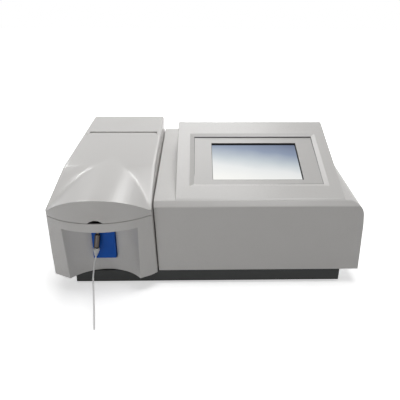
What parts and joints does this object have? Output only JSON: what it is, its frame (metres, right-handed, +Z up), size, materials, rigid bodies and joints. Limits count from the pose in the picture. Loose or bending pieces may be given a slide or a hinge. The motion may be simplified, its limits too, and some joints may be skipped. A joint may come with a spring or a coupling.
{
  "type": "chemistry analyzer",
  "caption": "Bench chemistry analyzer: a flow-cell module with a hinged lid, sample recess, aspirate key and sipper tube beside a main body with a sloping touch-screen console.",
  "frame": {"origin": "on the desk, under the middle of the instrument's box, the sipper tube left out", "axes": "+X to the instrument's right as seen from the front, +Y to its back, +Z up"},
  "size_m": [0.493, 0.4609, 0.2185],
  "materials": {
    "shell_light": "satin",
    "plinth_dark": "satin",
    "rubber_black": "matte",
    "key_blue": "satin",
    "bright_steel": "brushed",
    "aluminium": "machined",
    "black_plastic": "matte",
    "clear_glass": "polished",
    "tube_white": "smooth",
    "clip_grey": "satin",
    "board_green": "satin",
    "filter_glass": "polished"
  },
  "bodies": {
    "chassis": {"base_tray": "plinth_dark", "feet": "rubber_black", "chassis_plate": "bright_steel", "main_housing": "shell_light", "rear_panel": "bright_steel", "screen_bezel": "shell_light", "touch_panel": "clear_glass", "lcd_module": "black_plastic", "lcd_rails": "bright_steel", "screen_board": "board_green", "standoffs": "bright_steel", "module_housing": "shell_light", "module_rear_cap": "shell_light", "lid_hinge_pins": "bright_steel", "key_pivot_pin": "bright_steel", "key_spring": "bright_steel", "key_switch": "black_plastic", "switch_bracket": "bright_steel", "sipper_ferrule": "bright_steel", "sipper_clip": "clip_grey", "sipper_tube": "tube_white", "compartment_tray": "shell_light", "inlet_tube": "tube_white", "waste_tube": "tube_white", "waste_nozzle": "black_plastic", "pump_housing": "black_plastic", "pump_cover": "clear_glass", "pump_motor": "bright_steel", "flow_cell": "clear_glass", "flow_cell_block": "aluminium", "peltier": "tube_white", "heat_sink": "aluminium", "detector_housing": "black_plastic", "detector_board": "board_green", "optics_bench": "aluminium", "bench_posts": "bright_steel", "wheel_motor": "black_plastic", "wheel_bracket": "bright_steel", "lens_barrel": "black_plastic", "condenser_lens": "clear_glass", "lamp_housing": "aluminium", "lamp_socket": "tube_white", "halogen_lamp": "clear_glass", "main_board": "board_green", "power_supply": "bright_steel", "mains_inlet": "black_plastic", "switch_frame": "black_plastic", "fan_frame": "black_plastic", "fan_guard": "bright_steel", "data_ports": "bright_steel", "case_screws": "bright_steel"},
    "lid": {"lid": "shell_light"},
    "key": {"aspirate_key": "key_blue"},
    "plunger": {"switch_plunger": "black_plastic"},
    "rocker": {"power_rocker": "black_plastic"},
    "filter_wheel": {"filter_wheel": "black_plastic", "filters": "filter_glass"},
    "pump_rotor": {"pump_rotor": "aluminium", "pump_rollers": "tube_white"},
    "fan_rotor": {"fan_rotor": "black_plastic"}
  },
  "joints": [
    {"name": "lid_hinge", "type": "hinge", "parent": "chassis", "child": "lid", "pos_m": [-0.167, 0.0965, 0.17963], "axis": [-1, 0, 0], "range_deg": [0, 90]},
    {"name": "key_press", "type": "hinge", "parent": "chassis", "child": "key", "pos_m": [-0.1655, -0.139, 0.104], "axis": [1, 0, 0], "range_deg": [0, 5], "stiffness_Nm_per_rad": 1.5, "springref_deg": -1.72, "deforming": ["key_spring"]},
    {"name": "plunger_slide", "type": "slide", "parent": "chassis", "child": "plunger", "axis": [0, 1, 0], "range_m": [0, 0.0015]},
    {"name": "power_rocker_turn", "type": "hinge", "parent": "chassis", "child": "rocker", "pos_m": [0.1185, 0.1795, 0.067], "axis": [-1, 0, 0], "range_deg": [0, 20]},
    {"name": "filter_wheel_spin", "type": "hinge", "parent": "chassis", "child": "filter_wheel", "pos_m": [-0.147, 0.1, 0.103], "axis": [0, 1, 0], "continuous": true},
    {"name": "pump_rotor_spin", "type": "hinge", "parent": "chassis", "child": "pump_rotor", "pos_m": [-0.202, -0.08, 0.11], "axis": [0, 0, 1], "continuous": true},
    {"name": "fan_spin", "type": "hinge", "parent": "chassis", "child": "fan_rotor", "pos_m": [0.0025, 0.173, 0.102], "axis": [0, 1, 0], "continuous": true}
  ],
  "couplings": [
    {"joint": "plunger_slide", "follows": "key_press", "m_per_rad": 0.016}
  ]
}
